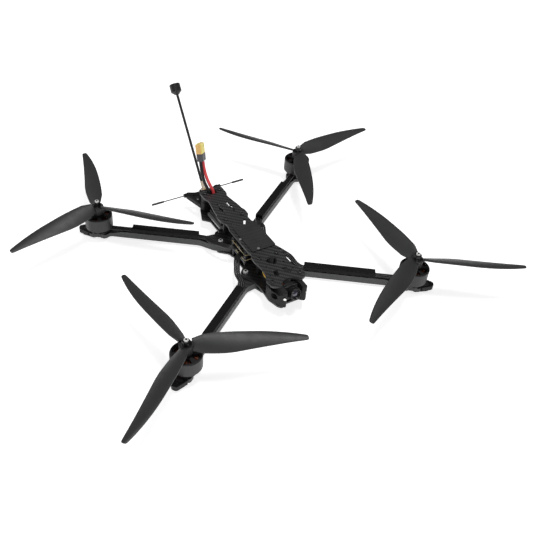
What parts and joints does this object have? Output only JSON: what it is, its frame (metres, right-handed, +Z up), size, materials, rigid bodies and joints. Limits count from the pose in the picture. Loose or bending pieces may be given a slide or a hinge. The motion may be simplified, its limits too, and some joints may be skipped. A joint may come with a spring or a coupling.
{
  "type": "fpv racing drone",
  "caption": "Quadcopter with a plate-and-arm carbon frame, tri-blade propellers on outrunner motors, a tilting nose camera, tail aerials and a battery plug.",
  "frame": {"origin": "on the ground under the centre of the motor rectangle", "axes": "+Z up, nose towards -Y, drone's left towards +X"},
  "size_m": [0.5493, 0.4651, 0.1445],
  "materials": {
    "carbon_plate": "satin woven carbon fibre laminate",
    "carbon_edge": "cut edge of carbon laminate, fine layers",
    "printed_black": "3D-printed flexible plastic, fine layer lines",
    "screw_steel": "black oxide steel",
    "post_black": "black anodised aluminium",
    "nut_black": "black anodised aluminium",
    "shaft_steel": "bright ground steel",
    "circuit_board": "dark solder mask with gold pads",
    "soft_grommet": "soft silicone",
    "heat_sink": "grey anodised heat sink",
    "camera_shell": "fine matte moulded plastic",
    "lens_metal": "black anodised ring",
    "lens_glass": "coated glass",
    "cable_yellow": "thin silicone wire",
    "aerial_black": "heat-shrink sleeve",
    "brass": "gold-plated brass",
    "lead_red": "red silicone jacket",
    "lead_black": "black silicone jacket",
    "sheath_grey": "grey nylon",
    "plug_yellow": "yellow nylon",
    "pad_black": "grippy silicone mat",
    "motor_black": "satin black anodised",
    "stator_steel": "black coated laminations",
    "copper": "enamelled copper wire",
    "propeller_grey": "matte dark grey polycarbonate"
  },
  "bodies": {
    "airframe": {"bottom_plate": "carbon_plate", "mid_plate": "carbon_plate", "top_plate": "carbon_plate", "arm_bolts": "screw_steel", "standoffs": "post_black", "plate_screws": "screw_steel", "esc_board": "circuit_board", "flight_controller": "circuit_board", "stack_grommets": "soft_grommet", "stack_bolts": "screw_steel", "video_transmitter": "heat_sink", "receiver_module": "circuit_board", "capacitor": "aerial_black", "camera_guards": "printed_black", "camera_cable": "cable_yellow", "rear_mount": "printed_black", "link_antenna": "aerial_black", "antenna_connector": "brass", "antenna_stalk": "aerial_black", "antenna_cap": "aerial_black", "power_lead_red": "lead_red", "power_lead_black": "lead_black", "connector_sheath": "sheath_grey", "power_connector": "plug_yellow", "battery_pad": "pad_black", "small_screws": "shaft_steel", "foot_pads": "printed_black", "motor_bases": "motor_black", "stator_cores": "stator_steel", "stator_windings": "copper", "motor_screws": "screw_steel", "motor_wires": "lead_black", "arm_front_right": "carbon_edge", "wire_cover_front_right": "printed_black", "arm_front_left": "carbon_edge", "wire_cover_front_left": "printed_black", "arm_rear_right": "carbon_edge", "wire_cover_rear_right": "printed_black", "arm_rear_left": "carbon_edge", "wire_cover_rear_left": "printed_black"},
    "camera": {"camera_case": "camera_shell", "camera_lens": "lens_metal", "camera_glass": "lens_glass", "camera_screws": "shaft_steel"},
    "rotor_front_right": {"motor_bell_front_right": "motor_black", "motor_shaft_front_right": "shaft_steel", "propeller_front_right": "propeller_grey", "propeller_nut_front_right": "nut_black"},
    "rotor_front_left": {"motor_bell_front_left": "motor_black", "motor_shaft_front_left": "shaft_steel", "propeller_front_left": "propeller_grey", "propeller_nut_front_left": "nut_black"},
    "rotor_rear_right": {"motor_bell_rear_right": "motor_black", "motor_shaft_rear_right": "shaft_steel", "propeller_rear_right": "propeller_grey", "propeller_nut_rear_right": "nut_black"},
    "rotor_rear_left": {"motor_bell_rear_left": "motor_black", "motor_shaft_rear_left": "shaft_steel", "propeller_rear_left": "propeller_grey", "propeller_nut_rear_left": "nut_black"}
  },
  "joints": [
    {"name": "spin_front_right", "type": "hinge", "parent": "airframe", "child": "rotor_front_right", "pos_m": [-0.1508, -0.13, 0.033], "axis": [0, 0, 1], "continuous": true},
    {"name": "spin_front_left", "type": "hinge", "parent": "airframe", "child": "rotor_front_left", "pos_m": [0.1508, -0.13, 0.033], "axis": [0, 0, 1], "continuous": true},
    {"name": "spin_rear_right", "type": "hinge", "parent": "airframe", "child": "rotor_rear_right", "pos_m": [-0.1508, 0.13, 0.033], "axis": [0, 0, 1], "continuous": true},
    {"name": "spin_rear_left", "type": "hinge", "parent": "airframe", "child": "rotor_rear_left", "pos_m": [0.1508, 0.13, 0.033], "axis": [0, 0, 1], "continuous": true},
    {"name": "camera_tilt", "type": "hinge", "parent": "airframe", "child": "camera", "pos_m": [0, -0.092, 0.0254], "axis": [-1, 0, 0], "range_deg": [-20, 25]}
  ]
}
